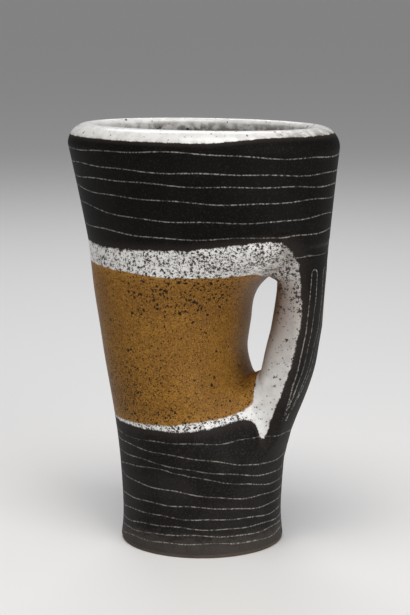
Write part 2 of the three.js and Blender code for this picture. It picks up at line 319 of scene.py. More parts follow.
# Both are first drawn up roughly, as a closed oval column and a closed bar that sinks into it, and
# joined by a remesh with faces of 1.2 mm.
skin_grain = 1.2
below = 3.0
beyond = 1.5
rough = bmesh.new()
for vert in closed_column(rough, 120, list(np.linspace(-below, height + beyond, 90))):
    middle, length, depth = wall_outline(np.clip(vert.co.z, 0, height))
    turn = math.atan2(vert.co.y, vert.co.x)
    vert.co.x = middle + length * math.cos(turn)
    vert.co.y = depth * math.sin(turn)
bar_end = 0.5
bar_sink = 1.5
bar_levels = np.linspace(strap_bottom + bar_end, strap_top - bar_end, 60)
for vert in closed_column(rough, 40, list(bar_levels)):
    inner, outer, half_width = strap_lines(vert.co.z)
    outer -= bar_sink
    squared = max(abs(vert.co.x), abs(vert.co.y)) ** 0.7
    vert.co.x = (outer + inner) / 2 + vert.co.x / squared * (outer - inner) / 2
    vert.co.y = vert.co.y / squared * half_width
bmesh.ops.recalc_face_normals(rough, faces=rough.faces)
bmesh.ops.scale(rough, vec=(MM, MM, MM), verts=rough.verts)
rough_skin = linked(rough, "rough_skin")
joining = rough_skin.modifiers.new("joining", "REMESH")
joining.mode = "VOXEL"
joining.voxel_size = skin_grain * MM
joined_mesh = bpy.data.meshes.new_from_object(
    rough_skin.evaluated_get(bpy.context.evaluated_depsgraph_get())
)
bpy.data.objects.remove(rough_skin)

skin = bmesh.new()
skin.from_mesh(joined_mesh)
bpy.data.meshes.remove(joined_mesh)
open_low = -1.5
open_high = height - 0.8
for at, keep_above in ((open_low, True), (open_high, False)):
    everything = skin.verts[:] + skin.edges[:] + skin.faces[:]
    bmesh.ops.bisect_plane(
        skin,
        geom=everything,
        plane_co=(0, 0, at * MM),
        plane_no=(0, 0, 1),
        clear_inner=keep_above,
        clear_outer=not keep_above,
    )
# Its points are drawn onto the true surface, and evened out between. The few that still lie astray sit
# in a sharp corner, and are smoothed with their neighbours.
evenly = {"factor": 0.5, "use_axis_x": True, "use_axis_y": True, "use_axis_z": True}
astray_by = 0.08
place(skin, settle_on_skin(coordinates(skin), 5))
for _ in range(3):
    bmesh.ops.smooth_vert(skin, verts=skin.verts, **evenly)
    place(skin, settle_on_skin(coordinates(skin), 2))
for _ in range(4):
    astray = np.abs(skin_field(coordinates(skin))) > astray_by
    stuck = {vert for vert, stray in zip(skin.verts, astray) if stray}
    stuck |= {edge.other_vert(vert) for vert in stuck for edge in vert.link_edges}
    bmesh.ops.smooth_vert(skin, verts=list(stuck), **evenly)
bmesh.ops.triangulate(skin, faces=skin.faces)


# The borders of the coats. The slip and the ochre are brushed on by hand, so each border wanders round
# the mug, and runs up to 0.8 mm higher on the far side. Angles are in degrees from the handle, and
# heights in millimetres at those angles.
far_lift = 0.8


def border(turn, angles, heights):
    """A border's height at an angle round the mug."""
    behind = far_lift * np.clip(np.sin(turn), 0, 1)
    return np.interp(np.degrees(np.abs(turn)), angles, heights) + behind


def upper_slip_border(turn):
    angles = [34, 45, 60, 79, 99, 121, 146, 180]
    return border(turn, angles, [124.0, 123.9, 122.7, 120.3, 119.7, 118.8, 119.4, 119.6])


def ochre_top_border(turn):
    return border(turn, [27, 44, 79, 106, 143], [110.2, 109.7, 109.7, 110.8, 111.8])


def ochre_low_border(turn):
    return border(turn, [21, 40, 64, 81, 111, 141], [56.0, 54.1, 53.0, 51.8, 51.4, 50.9])


def lower_slip_border(turn):
    """The top of the lower slip, which lets one drip of white run down beside each side of the strap."""
    angles = [14, 18.3, 20.3, 22.6, 29, 49, 66, 77, 110, 141]
    return border(turn, angles, [42.5, 45.5, 51.0, 53.0, 52.8, 51.1, 49.9, 49.3, 49.8, 50.3])


def lip_border(turn):
    """Where the liner ends outside the lip: higher over the handle, where the slip comes up to it."""
    return 160.8 + 1.9 * ease(np.cos(turn), 0.3, 0.8)


def above(border_height, p):
    """Distance up over a border, measured square to it."""
    turn = around_wall(p[:, 0], p[:, 1], p[:, 2])[1]
    small = 0.02
    rise = border_height(turn + small) - border_height(turn - small)
    slope = rise / (2 * small * np.maximum(np.hypot(p[:, 0], p[:, 1]), 10))
    return (p[:, 2] - border_height(turn)) / np.hypot(1, slope)


def merged(a, b, rounding):
    """The larger of two distances, with the corner between them rounded."""
    overlap = np.clip(rounding - np.abs(a - b), 0, None) / rounding
    return np.maximum(a, b) + overlap * overlap * rounding / 4


def inside_slip(p):
    """Distance into the black: the two bands, and the stripe down the strap that joins them."""
    heights = [45, 60, 79, 95, 105, 115, 124]
    wrap = np.interp(p[:, 2], heights, [5.4, 5.6, 4.2, 2.9, 4.0, 4.7, 6.4])
    stripe = p[:, 0] - handle_line(p[:, 2]) + wrap
    bands = merged(above(upper_slip_border, p), stripe, rounding=4.5)
    bands = merged(bands, -above(lower_slip_border, p), rounding=1.5)
    return np.minimum(bands, -2 * above(lip_border, p))


def inside_ochre(p):
    """Distance into the ochre, which ends on the handle side just past the finger hole's wall."""
    heights = [54, 58, 66, 70, 78, 100, 110]
    handle_end = np.interp(p[:, 2], heights, [24.3, 26.8, 27.2, 26.2, 26.2, 28, 31.5])
    outside = merged(-above(ochre_low_border, p), p[:, 0] - handle_end, rounding=5)
    return -merged(outside, above(ochre_top_border, p), rounding=2)


def on_handle(p):
    """Distance past the line where the handle's own white glaze starts, which leans out at the top."""
    return p[:, 0] - np.maximum(25, 0.8 * p[:, 2] - 56.5)


def cut_along(bm, field):
    """Cuts the skin's triangles where a field is nought."""
    values = field(coordinates(bm))
    crossed = {}
    for edge in bm.edges:
        low, high = (values[vert.index] for vert in edge.verts)
        if (low > 0) != (high > 0):
            crossed[edge] = float(np.clip(low / (low - high), 0.05, 0.95))
    cut = bmesh.ops.bisect_edges(bm, edges=list(crossed), cuts=1, edge_percents=crossed)
    verts = [part for part in cut["geom_split"] if isinstance(part, bmesh.types.BMVert)]
    bmesh.ops.connect_verts(bm, verts=verts)
    bmesh.ops.triangulate(bm, faces=[face for face in bm.faces if len(face.verts) > 3])
    bm.verts.index_update()
    bm.faces.index_update()


stripe_top = 118.0
stripe_end = 44.0
stripe_from = 30.5
waist = 85.0
for field in (
    lambda p: above(lip_border, p),
    inside_slip,
    inside_ochre,
    on_handle,
    lambda p: p[:, 2] - foot_bare,
    lambda p: p[:, 2] - stripe_top,
    lambda p: p[:, 2] - stripe_end,
):
    cut_along(skin, field)

middles = np.array([face.calc_center_median()[:] for face in skin.faces]) / MM
on_skin = (above(lip_border, middles) < 0) & (middles[:, 2] > foot_bare)
in_slip = on_skin & (inside_slip(middles) > 0)
in_ochre = on_skin & ~in_slip & (inside_ochre(middles) > 0)
in_white = on_skin & ~in_slip & ~in_ochre
handle_side = on_handle(middles) > 0
upper_half = middles[:, 2] > waist
along_strap = (middles[:, 2] > stripe_end) & (middles[:, 2] < stripe_top)
in_stripe = in_slip & (middles[:, 0] > stripe_from) & along_strap


# What the brush and the stylus left on the coats, with some painted shade, carried as numbers on the
# pieces for their materials.
# Lines are scratched through the black slip while it is leather-hard, round the mug one above the other.
# Each has its height opposite the handle, at the front and at the handle, and wanders by half a
# millimetre.
scratched_lines = [
    (4.0, 5.8, 5.0),
    (6.4, 8.7, 7.8),
    (9.9, 11.6, 10.4),
    (14.9, 15.4, 14.0),
    (19.4, 20.1, 17.8),
    (28.1, 24.9, 22.2),
    (32.3, 32.6, 26.0),
    (36.9, 34.6, 30.6),
    (42.0, 39.2, 35.0),
    (44.6, 44.6, 45.6),
    (117.0, 117.0, 117.9),
    (126.3, 125.2, 126.4),
    (134.6, 131.1, 132.6),
    (141.0, 138.6, 139.0),
    (145.4, 145.0, 144.0),
    (150.5, 149.4, 148.6),
    (155.6, 156.8, 154.4),
]


def line_heights(turn):
    """The height of every scratched line at an angle: a parabola through its three heights, a drift
    of the hand, more of it on the far side, and at least 1 mm over the line below."""
    far_wander = 0.8
    least_gap = 1.0
    # The cosines of the three angles at which the heights are given.
    far, front, near = -0.77, 0.34, 1.0
    side = np.clip(np.cos(turn), -0.85, 1)
    lines = []
    for count, (at_far, at_front, at_near) in enumerate(scratched_lines):
        drift = 0.3 * np.sin(5 * turn + 1.7 * count) + 0.22 * np.sin(11 * turn + 2.3 * count)
        height_here = (
            at_far * (side - front) * (side - near) / ((far - front) * (far - near))
            + at_front * (side - far) * (side - near) / ((front - far) * (front - near))
            + at_near * (side - far) * (side - front) / ((near - far) * (near - front))
            + drift
            + far_wander * np.clip(np.sin(turn), 0, 1) * math.sin(2.1 * count)
        )
        if lines:
            height_here = np.maximum(height_here, lines[-1] + least_gap)
        lines.append(height_here)
    return lines


def line_count(z, lines):
    """How many lines lie below a height, with the share of the way to the next."""
    count = -np.clip((lines[0] - z) / 8, 0, 0.5)
    for low, high in zip(lines, lines[1:]):
        count += np.clip((z - low) / (high - low), 0, 1)
    return count + np.clip((z - lines[-1]) / 8, 0, 0.5)


def scratches(p):
    """The line count, smoothed a little, and how many millimetres one more line is there."""
    lines = line_heights(around_wall(p[:, 0], p[:, 1], p[:, 2])[1])
    reach = 0.6
    shifts = (-0.5, -0.25, 0, 0.25, 0.5)
    count = sum(line_count(p[:, 2] + shift, lines) for shift in shifts) / len(shifts)
    rise = line_count(p[:, 2] + reach, lines) - line_count(p[:, 2] - reach, lines)
    return count, 2 * reach / np.maximum(rise, 0.01)


def hairpins(p):
    """Distance out of the two long loops scratched down the strap's outer face. Each has its places
    aside at some heights, then its top."""
    far_off = 99.0
    loop_foot = 52.0
    face_from = 30.0
    heights = [54, 67, 77, 89, 100, 110]
    loops = (
        (-7.5, -8.3, -7.4, -6.6, -5.6, -5.8, 112.0),
        (-5.4, -2.6, -0.2, 2.4, 4.6, 3.6, 111.5),
    )
    nearest = np.full(len(p), far_off)
    for *places, top in loops:
        aside = np.abs(p[:, 1] - np.interp(p[:, 2], heights, places))
        half = np.interp(p[:, 2], heights, [0.2, 1.0, 1.5, 1.7, 2.1, 1.9])
        arch = np.hypot(aside, np.clip(p[:, 2] - (top - half), 0, None)) - half
        arch = np.maximum(arch, loop_foot - p[:, 2])
        nearest = np.minimum(nearest, arch)
    return np.where(p[:, 0] > face_from, nearest, far_off)


def in_cup(p):
    """Whether a point lies inside the cup, by more than the skin's own unevenness."""
    return around_wall(p[:, 0], p[:, 1], p[:, 2])[0] < 0.97


def dark_grains(p):
    """Share of the places for a grain that hold one: coarse grains, then fine sand. Most lie in the
    white over the ochre, and in the ochre in a cluster near its top and low down."""
    turn = around_wall(p[:, 0], p[:, 1], p[:, 2])[1]
    from_handle = np.degrees(np.abs(turn))
    from_ochre = -inside_ochre(p)
    z = p[:, 2]

    # In the white margins: thinner opposite the handle, and sparse on the strap but for the dust of
    # slip along its stripe and the shoulder.
    spread = 1 - 0.4 * ease(from_handle, 105, 150)
    middle = ease(from_handle, 20, 50) * (1 - ease(from_handle, 75, 100))
    coarse = (0.5 + 0.3 * ease(from_ochre, 0.5, 3) + 0.3 * middle) * spread
    fine = (0.85 + 0.3 * middle) * spread
    strap = ease(on_handle(p), -3, 2) * (1 - ease(z, 98, 110))
    edge_dust = ease(z, 82, 100) * (1 - ease(-inside_slip(p), 0.5, 3.5))
    coarse += strap * (0.03 + 0.4 * ease(z, 94, 104) + 0.35 * edge_dust - coarse)
    fine += strap * (0.1 + 0.25 * ease(z, 80, 100) + 0.4 * edge_dust - fine)

    # In the ochre: the cluster under its top edge, more low down and opposite the handle, and a dusty
    # lower edge.
    cluster = ease(z, 88, 102) * ease(from_handle, 15, 35) * (1 - ease(from_handle, 75, 105))
    low_far = (1 - ease(z, 56, 95)) * ease(from_handle, 45, 105)
    low_edge = (1 - ease(-from_ochre, 0, 4)) * (1 - ease(z, 60, 70))
    ochre_coarse = 0.03 + 0.5 * cluster + 0.12 * low_far
    ochre_fine = 0.32 + 0.35 * cluster + 0.8 * low_far + 0.45 * low_edge

    # In the liner: next to none, apart from more of them inside the far wall just under the lip, most of
    # them at the left.
    clean = in_cup(p) | (above(lip_border, p) > -1)
    far_wall_grains = 0.08 + 0.2 * ease(-np.cos(turn), 0.2, 0.7)
    far_wall_grains *= in_cup(p) * ease(np.sin(turn), 0.1, 0.6) * ease(z, 148, 156) * (1 - ease(z, 158, 163))
    coarse = np.where(clean, 0.012 + far_wall_grains, np.where(from_ochre < 0, ochre_coarse, coarse))
    return coarse, np.where(clean, 0.03 + far_wall_grains, np.where(from_ochre < 0, ochre_fine, fine))


def smears_and_shade(p):
    """Share of the white that is greyed: by thin slip in a veil along the lip's edge, most of it over the
    handle, and by painted shade over most of the far wall inside. There the share runs past one, so that
    in streaks the painted shade hides the white wholly."""
    turn = around_wall(p[:, 0], p[:, 1], p[:, 2])[1]
    over = above(lip_border, p)
    veil = ease(np.cos(turn + 0.2), 0.8, 0.97) * (1 - ease(over, 0, 3.5))
    lip = 0.35 * (1 - ease(over, 0.2, 1.2)) + 0.7 * veil
    # Painted shade on the far wall inside the cup.
    far = ease(np.sin(turn), 0.1, 0.6) * ease(p[:, 2], 140, 150)
    far = far * (1 - ease(p[:, 2], 160.5, 164))
    return np.where(in_cup(p), 2.6 * far, lip * ease(over, -1.5, -0.5))


def clay_blush_and_shade(p):
    """Share of warm brown on the strap's white: clay showing through where the glaze is thin, and painted
    shade, deepest along the finger hole and up towards its top, under the mug's overhang.
    """
    # Painted shade along the finger hole and under the overhang, over the clay's own warmth.
    past_wall = ease(on_handle(p), -1, 4)
    from_hole = p[:, 0] - strap_lines(p[:, 2])[0]
    thin = 0.6 + 0.4 * (1 - ease(from_hole, 3, 11))
    return past_wall * thin * ease(p[:, 2], 52, 98) * (1 - 0.5 * ease(p[:, 2], 104, 116))


def carry(mesh, p):
    """Stores the borders, lines and grains on a piece, in millimetres, counts and shares."""
    count, spacing = scratches(p)
    coarse, fine = dark_grains(p)
    far_out = -9
    carried = {
        "slip_mm": np.where(in_cup(p), far_out, inside_slip(p)),
        "ochre_mm": np.where(in_cup(p), far_out, inside_ochre(p)),
        "line_count": count,
        "line_mm": spacing,
        "hairpin_mm": hairpins(p),
        "grain_share": coarse,
        "sand_share": fine,
        "smear_and_shade_share": smears_and_shade(p),
        "blush_and_shade_share": clay_blush_and_shade(p),
    }
    for name, values in carried.items():
        layer = mesh.attributes.new(name, "FLOAT", "POINT")
        layer.data.foreach_set("value", np.asarray(values, np.float32))


def marked(bm, p, normals):
    """Notes on each point its place on the finished surface, in millimetres, and the way out of it."""
    at = bm.verts.layers.float_vector.new("at")
    out = bm.verts.layers.float_vector.new("out")
    for vert, where, way in zip(bm.verts, p, normals):
        vert[at] = where
        vert[out] = way


def backed(bm, depth):
    """Gives a marked surface a back that lies deeper in the clay, and closes it round its edges."""
    out = bm.verts.layers.float_vector["out"]
    back = bm.verts.layers.int.new("back")
    made = bmesh.ops.extrude_face_region(bm, geom=bm.faces[:], use_keep_orig=True)["geom"]
    for vert in made:
        if isinstance(vert, bmesh.types.BMVert):
            vert.co -= vert[out] * depth * MM
            vert[back] = 1
    bmesh.ops.recalc_face_normals(bm, faces=bm.faces)


def finished(bm, name):
    """A backed surface as a piece, shaded by its own slope so that no seam shows between coats."""
    piece = linked(bm, name)
    mesh = piece.data
    mesh.shade_smooth()
    count = len(mesh.vertices)
    at = np.zeros(count * 3, np.float32)
    out = np.zeros(count * 3, np.float32)
    back = np.zeros(count, np.int32)
    mesh.attributes["at"].data.foreach_get("vector", at)
    mesh.attributes["out"].data.foreach_get("vector", out)
    mesh.attributes["back"].data.foreach_get("value", back)
    for spent in ("at", "out", "back"):
        mesh.attributes.remove(mesh.attributes[spent])
    carry(mesh, at.reshape(-1, 3).astype(float))
    corners = np.zeros(len(mesh.loops), np.int32)
    mesh.loops.foreach_get("vertex_index", corners)
    starts = np.zeros(len(mesh.polygons), np.int32)
    sizes = np.zeros(len(mesh.polygons), np.int32)
    flat = np.zeros(len(mesh.polygons) * 3, np.float32)
    mesh.polygons.foreach_get("loop_start", starts)
    mesh.polygons.foreach_get("loop_total", sizes)
    mesh.polygons.foreach_get("normal", flat)
    backs = np.repeat(np.add.reduceat(back[corners], starts), sizes)
    size = np.repeat(sizes, sizes)
    facing = out.reshape(-1, 3)[corners]
    facing[backs == size] *= -1
    rim = (backs > 0) & (backs < size)
    facing[rim] = np.repeat(flat.reshape(-1, 3), sizes, axis=0)[rim]
    mesh.normals_split_custom_set(facing)
    return piece


coat_depth = 0.45


def coat(name, wanted):
    """One closed coat over the wanted faces of the skin."""
    bm = skin.copy()
    spare = [face for face, keep in zip(bm.faces, wanted) if not keep]
    bmesh.ops.delete(bm, geom=spare, context="FACES")
    p = coordinates(bm)
    marked(bm, p, skin_normals(p))
    backed(bm, coat_depth)
    return finished(bm, name)


# What the coats are made of. They share their borders, so each finish is drawn from the same notes:
# where the slip and the ochre end, where the stylus ran, and how thickly the dark grains lie.
def paint(hex_colour):
    """An sRGB hex colour as the linear colour that the shaders take."""
    parts = [int(hex_colour[i : i + 2], 16) / 255 for i in (1, 3, 5)]
    return [c / 12.92 if c <= 0.04045 else ((c + 0.055) / 1.055) ** 2.4 for c in parts] + [1.0]


def add(tree, kind, settings, inputs):
    """Adds a node with its settings, its values and its links."""
    made = tree.nodes.new("ShaderNode" + kind)
    for name, value in settings.items():
        setattr(made, name, value)
    for socket, value in inputs.items():
        if isinstance(value, bpy.types.Node):
            value = value.outputs[0]
        if isinstance(value, bpy.types.NodeSocket):
            tree.links.new(value, made.inputs[socket])
        else:
            made.inputs[socket].default_value = value
    return made


plus = {"operation": "ADD"}
minus = {"operation": "SUBTRACT"}
times = {"operation": "MULTIPLY"}
times_plus = {"operation": "MULTIPLY_ADD"}
larger = {"operation": "MAXIMUM"}
under = {"operation": "LESS_THAN"}
soft = {"interpolation_type": "SMOOTHSTEP"}
colours = {"data_type": "RGBA"}


def fired_coats(name, shine):
    """Stoneware coats fired to one skin: black slip, ochre and a milky white glaze over speckled clay.
    The slip is satin with a faint grey bloom, the ochre has a fine orange peel and the white is
    glossy."""
    material = bpy.data.materials.new(name)
    material.use_nodes = True
    tree = material.node_tree
    shader = tree.nodes["Principled BSDF"]
    shader.inputs["IOR"].default_value = 1.5
    shader.inputs["Specular IOR Level"].default_value = shine
    noted = {}
    for note in (
        "slip_mm",
        "ochre_mm",
        "line_count",
        "line_mm",
        "hairpin_mm",
        "grain_share",
        "sand_share",
        "smear_and_shade_share",
        "blush_and_shade_share",
    ):
        noted[note] = add(tree, "Attribute", {"attribute_name": note}, {}).outputs["Fac"]

    # Noises with blobs about 0.6, 3 and 17 mm across.
    where = add(tree, "TexCoord", {}, {}).outputs["Object"]
    in_mm = add(tree, "VectorMath", {"operation": "SCALE"}, {0: where, "Scale": 1000.0})
    grit = add(tree, "TexNoise", {}, {"Vector": in_mm, "Scale": 1 / 0.6})
    pools = add(tree, "TexNoise", {}, {"Vector": in_mm, "Scale": 1 / 3.0})
    drifts = add(tree, "TexNoise", {}, {"Vector": in_mm, "Scale": 1 / 17.0, "Detail": 3.0})

    # Borders: the brush leaves a granular edge that wanders by a few tenths of a millimetre.
    ragged = add(tree, "Math", times_plus, {0: grit, 1: 1.5, 2: -1.45})
    wander = add(tree, "Math", times_plus, {0: pools, 1: 1.4, 2: ragged})
    past_slip = add(tree, "Math", plus, {0: noted["slip_mm"], 1: wander})
    black = add(tree, "MapRange", soft, {0: past_slip, 1: -0.3, 2: 0.3})
    past_ochre = add(tree, "Math", times_plus, {0: wander, 1: 0.6, 2: noted["ochre_mm"]})
    ochre = add(tree, "MapRange", soft, {0: past_ochre, 1: -0.35, 2: 0.35})

    # Dark grains of iron from the clay, up to 1.3 and 0.7 mm across, bent out of round by some 0.3 mm
    # and thicker in some patches than in others.
    jolt = add(tree, "TexNoise", {}, {"Vector": in_mm, "Scale": 1 / 0.5, "Detail": 1.0})
    jolted = {0: jolt.outputs["Color"], 1: (1.3, 1.3, 1.3), 2: in_mm}
    bent = add(tree, "VectorMath", times_plus, jolted)
    lumpy = add(tree, "MapRange", soft, {0: pools, 1: 0.32, 2: 0.66, 3: 0.45, 4: 1.5})
    grains = 0.0
    for cell_mm, radius, note in ((1.25, 0.43, "grain_share"), (0.72, 0.37, "sand_share")):
        cells = add(tree, "TexVoronoi", {}, {"Vector": bent, "Scale": 1 / cell_mm})
        chance = add(tree, "SeparateColor", {}, {0: cells.outputs["Color"]})
        share = add(tree, "Math", times, {0: noted[note], 1: lumpy})
        there = add(tree, "Math", under, {0: chance, 1: share})
        size = add(tree, "Math", times_plus, {0: chance.outputs[1], 1: 0.2, 2: radius - 0.1})
        inside = add(tree, "Math", minus, {0: size, 1: cells})
        spot = add(tree, "MapRange", soft, {0: inside, 1: -0.05, 2: 0.07})
        spot = add(tree, "Math", times, {0: there, 1: spot})
        grains = add(tree, "Math", larger, {0: grains, 1: spot})

    # Scratched lines, 0.4 mm wide, broken every millimetre or so where the stylus skipped over the grit.
    off_line = add(tree, "Math", {"operation": "PINGPONG"}, {0: noted["line_count"], 1: 0.5})
    shaky = add(tree, "Math", times_plus, {0: grit, 1: 0.5, 2: -0.25})
    from_line = add(tree, "Math", times_plus, {0: off_line, 1: noted["line_mm"], 2: shaky})
    off_loop = add(tree, "Math", {"operation": "ABSOLUTE"}, {0: noted["hairpin_mm"]})
    from_loop = add(tree, "Math", plus, {0: off_loop, 1: shaky})
    nearest = add(tree, "Math", {"operation": "MINIMUM"}, {0: from_line, 1: from_loop})
    scratch = add(tree, "MapRange", soft, {0: nearest, 1: 0.1, 2: 0.3, 3: 1.0, 4: 0.0})
    beads = add(tree, "TexNoise", {}, {"Vector": in_mm, "Scale": 1 / 0.9, "Detail": 1.0})
    skips = add(tree, "MapRange", soft, {0: beads, 1: 0.4, 2: 0.58, 3: 0.15, 4: 1.0})
    pressure = add(tree, "MapRange", soft, {0: drifts, 1: 0.35, 2: 0.6, 3: 0.5, 4: 1.0})
    for share in (skips, pressure, black):
        scratch = add(tree, "Math", times, {0: scratch, 1: share})

    # White glaze: milky, warmed on the strap by clay through thin glaze and darkened there by painted
    # shade along the finger hole and towards its top, greyed where slip was dragged into it, and greyed
    # by painted shade on the far wall inside.
    pooled = add(tree, "MapRange", soft, {0: pools, 1: 0.35, 2: 0.7})
    drifted = add(tree, "MapRange", soft, {0: drifts, 1: 0.38, 2: 0.66})
    white = add(tree, "Mix", colours, {0: pooled, 6: paint("#dfdedb"), 7: paint("#d1cfcc")})
    # Warm brown on the strap: thin glaze, and painted shade along the finger hole and under the overhang.
    blush_and_shade = noted["blush_and_shade_share"]
    white = add(tree, "Mix", colours, {0: blush_and_shade, 6: white.outputs[2], 7: paint("#6e5a4a")})
    # Grey of smeared slip outside, and painted shade on the far wall inside.
    streaks = add(tree, "MapRange", soft, {0: pools, 1: 0.35, 2: 0.62, 3: 0.25, 4: 1.0})
    smear_and_shade = add(tree, "Math", times, {0: noted["smear_and_shade_share"], 1: streaks})
    white = add(tree, "Mix", colours, {0: smear_and_shade, 6: white.outputs[2], 7: paint("#847e79")})

    # Ochre glaze: amber, browner in drifts and lighter near its edge, with light pinholes 0.5 mm across
    # every 4 mm or so. Grit of 0.6 mm flecks it lighter in places and darker where sand shows.
    amber = add(tree, "Mix", colours, {0: pooled, 6: paint("#7c5622"), 7: paint("#8b6228")})
    browned = add(tree, "Math", times, {0: drifted, 1: 0.5})
    amber = add(tree, "Mix", colours, {0: browned, 6: amber.outputs[2], 7: paint("#724d24")})
    edge_of = add(tree, "MapRange", soft, {0: noted["ochre_mm"], 1: 0.0, 2: 5.0, 3: 0.4, 4: 0.0})
    amber = add(tree, "Mix", colours, {0: edge_of, 6: amber.outputs[2], 7: paint("#a5773a")})
    holes = add(tree, "TexVoronoi", {}, {"Vector": in_mm, "Scale": 1 / 4.0})
    pinhole = add(tree, "MapRange", soft, {0: holes, 1: 0.03, 2: 0.08, 3: 0.7, 4: 0.0})
    amber = add(tree, "Mix", colours, {0: pinhole, 6: amber.outputs[2], 7: paint("#c79f66")})
    light_flecks = add(tree, "MapRange", soft, {0: grit, 1: 0.5, 2: 0.66, 4: 0.35})
    amber = add(tree, "Mix", colours, {0: light_flecks, 6: amber.outputs[2], 7: paint("#b08442")})
    sandy = add(tree, "MapRange", soft, {0: grit, 1: 0.34, 2: 0.5, 3: 0.4, 4: 0.0})
    amber = add(tree, "Mix", colours, {0: sandy, 6: amber.outputs[2], 7: paint("#4e361c")})

    # Black slip: nearly black above the ochre, and painted lighter to charcoal below, where the lower
    # band catches more light; its warm grey bloom of crystals is stronger there too. It is browner
    # towards its edges, and paler grey in patches near the foot.
    upright = add(tree, "SeparateXYZ", {}, {0: in_mm})
    lower = add(tree, "MapRange", soft, {0: upright.outputs[2], 1: 60.0, 2: 110.0, 3: 1.0, 4: 0.0})
    thick = add(tree, "Mix", colours, {0: drifted, 6: paint("#090807"), 7: paint("#100e0d")})
    # The charcoal of the lower band is painted light, from the light it catches.
    lit_lower_slip = add(tree, "Mix", colours, {0: drifted, 6: paint("#161413"), 7: paint("#22201e")})
    dark = add(tree, "Mix", colours, {0: lower, 6: thick.outputs[2], 7: lit_lower_slip.outputs[2]})
    bloom = add(tree, "MapRange", soft, {0: grit, 1: 0.5, 2: 0.68, 4: 0.6})
    bloom_below = add(tree, "MapRange", soft, {0: lower, 3: 0.5, 4: 1.0})
    bloom = add(tree, "Math", times, {0: bloom, 1: bloom_below})
    dark = add(tree, "Mix", colours, {0: bloom, 6: dark.outputs[2], 7: paint("#332e2b")})
    thin = add(tree, "MapRange", soft, {0: noted["slip_mm"], 1: 0.0, 2: 4.0, 3: 0.5, 4: 0.0})
    dark = add(tree, "Mix", colours, {0: thin, 6: dark.outputs[2], 7: paint("#352e2a")})
    paler_near_foot = add(tree, "MapRange", soft, {0: upright.outputs[2], 1: 3.0, 2: 14.0, 3: 0.45, 4: 0.0})
    paler_near_foot = add(tree, "Math", times_plus, {0: pools, 1: 0.4, 2: paler_near_foot})
    paler_near_foot = add(tree, "Math", times_plus, {0: grit, 1: 0.5, 2: paler_near_foot})
    paler_near_foot = add(tree, "MapRange", soft, {0: paler_near_foot, 1: 0.55, 2: 0.95, 4: 0.9})
    dark = add(tree, "Mix", colours, {0: paler_near_foot, 6: dark.outputs[2], 7: paint("#433e3a")})

    # One over the other: ochre over white, the grains, the slip over them, and the lines cut through it.
    ground = add(tree, "Mix", colours, {0: ochre, 6: white.outputs[2], 7: amber.outputs[2]})
    ground = add(tree, "Mix", colours, {0: grains, 6: ground.outputs[2], 7: paint("#261c14")})
    slipped = add(tree, "Mix", colours, {0: black, 6: ground.outputs[2], 7: dark.outputs[2]})
    bared = add(tree, "Math", times, {0: scratch, 1: 0.72})
    colour = add(tree, "Mix", colours, {0: bared, 6: slipped.outputs[2], 7: paint("#a5a19b")})

    # Finish: gloss by coat, a fine orange peel of 1.6 mm, and the lines cut 0.12 mm deep.
    glazed = add(tree, "Mix", {}, {0: ochre, 2: 0.3, 3: 0.42})
    gloss = add(tree, "Mix", {}, {0: black, 2: glazed, 3: 0.55})
    peel = add(tree, "TexNoise", {}, {"Vector": in_mm, "Scale": 1 / 1.6, "Detail": 1.0})
    depth = add(tree, "Math", times_plus, {0: ochre, 1: 0.06, 2: 0.02})
    relief = add(tree, "Math", times, {0: peel, 1: depth})
    for height_of, millimetres in ((pools, 0.06), (grit, 0.02), (black, -0.03), (scratch, -0.12)):
        relief = add(tree, "Math", times_plus, {0: height_of, 1: millimetres, 2: relief})
    bump = add(tree, "Bump", {}, {"Distance": MM, "Height": relief})
    tree.links.new(colour.outputs[2], shader.inputs["Base Color"])
    tree.links.new(gloss.outputs[0], shader.inputs["Roughness"])
    tree.links.new(bump.outputs[0], shader.inputs["Normal"])
    return material


def dress(piece, material, slot, *nodes):
    """Gives a piece its material, hangs it on the root body, and hides the CAD nodes that it stands for.
    """
    piece.data.materials.append(material)
    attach(piece, "root")
    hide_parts(*nodes)


# The black slip: the two bands and the stripe down the strap. It is an iron and manganese slip, brushed
# on the raw clay and fired to a satin skin, which throws back little light.
black_slip = fired_coats("black iron slip, satin", 0.07)
bands = in_slip & ~in_stripe
dress(coat("upper_slip", bands & upper_half), black_slip, "black_slip", "upper_slip_band")
dress(coat("lower_slip", bands & ~upper_half), black_slip, "black_slip", "lower_slip_band")
dress(coat("strap_slip", in_stripe), black_slip, "black_slip", "handle_slip_stripe")

# The white glaze on the outside: the two margins, and the sides and inner face of the strap. It is a
# milky tin or zircon glaze, poured on and left bare of slip, and fired glossy.
white_glaze = fired_coats("milky white stoneware glaze", 0.5)
margins = in_white & ~handle_side
dress(coat("upper_margin", margins & upper_half), white_glaze, "white_glaze", "upper_white_margin")
dress(coat("lower_margin", margins & ~upper_half), white_glaze, "white_glaze", "lower_white_margin")
dress(coat("strap_white", in_white & handle_side), white_glaze, "white_glaze", "handle_white_glaze")

# The ochre glaze: one broad panel round the waist, and on the wall inside the finger hole. It is an iron
# glaze, brushed on between the margins and fired to a dull satin.
ochre_glaze = fired_coats("ochre iron glaze, satin", 0.06)
dress(coat("ochre_panel", in_ochre), ochre_glaze, "ochre_glaze", "ochre_glaze")


# The liner: the same white glaze, poured inside and tipped out, and dipped over the round lip to just
# past it outside. It is one closed coat from there over the crest and down to the cup's floor.
inner_fillet = 6.0
floor_top = 6.5
wall_thickness = 6.0
lip_swell = 140.0
level_lip = 9.0
level_foot = 6.0
level_above = 20.0


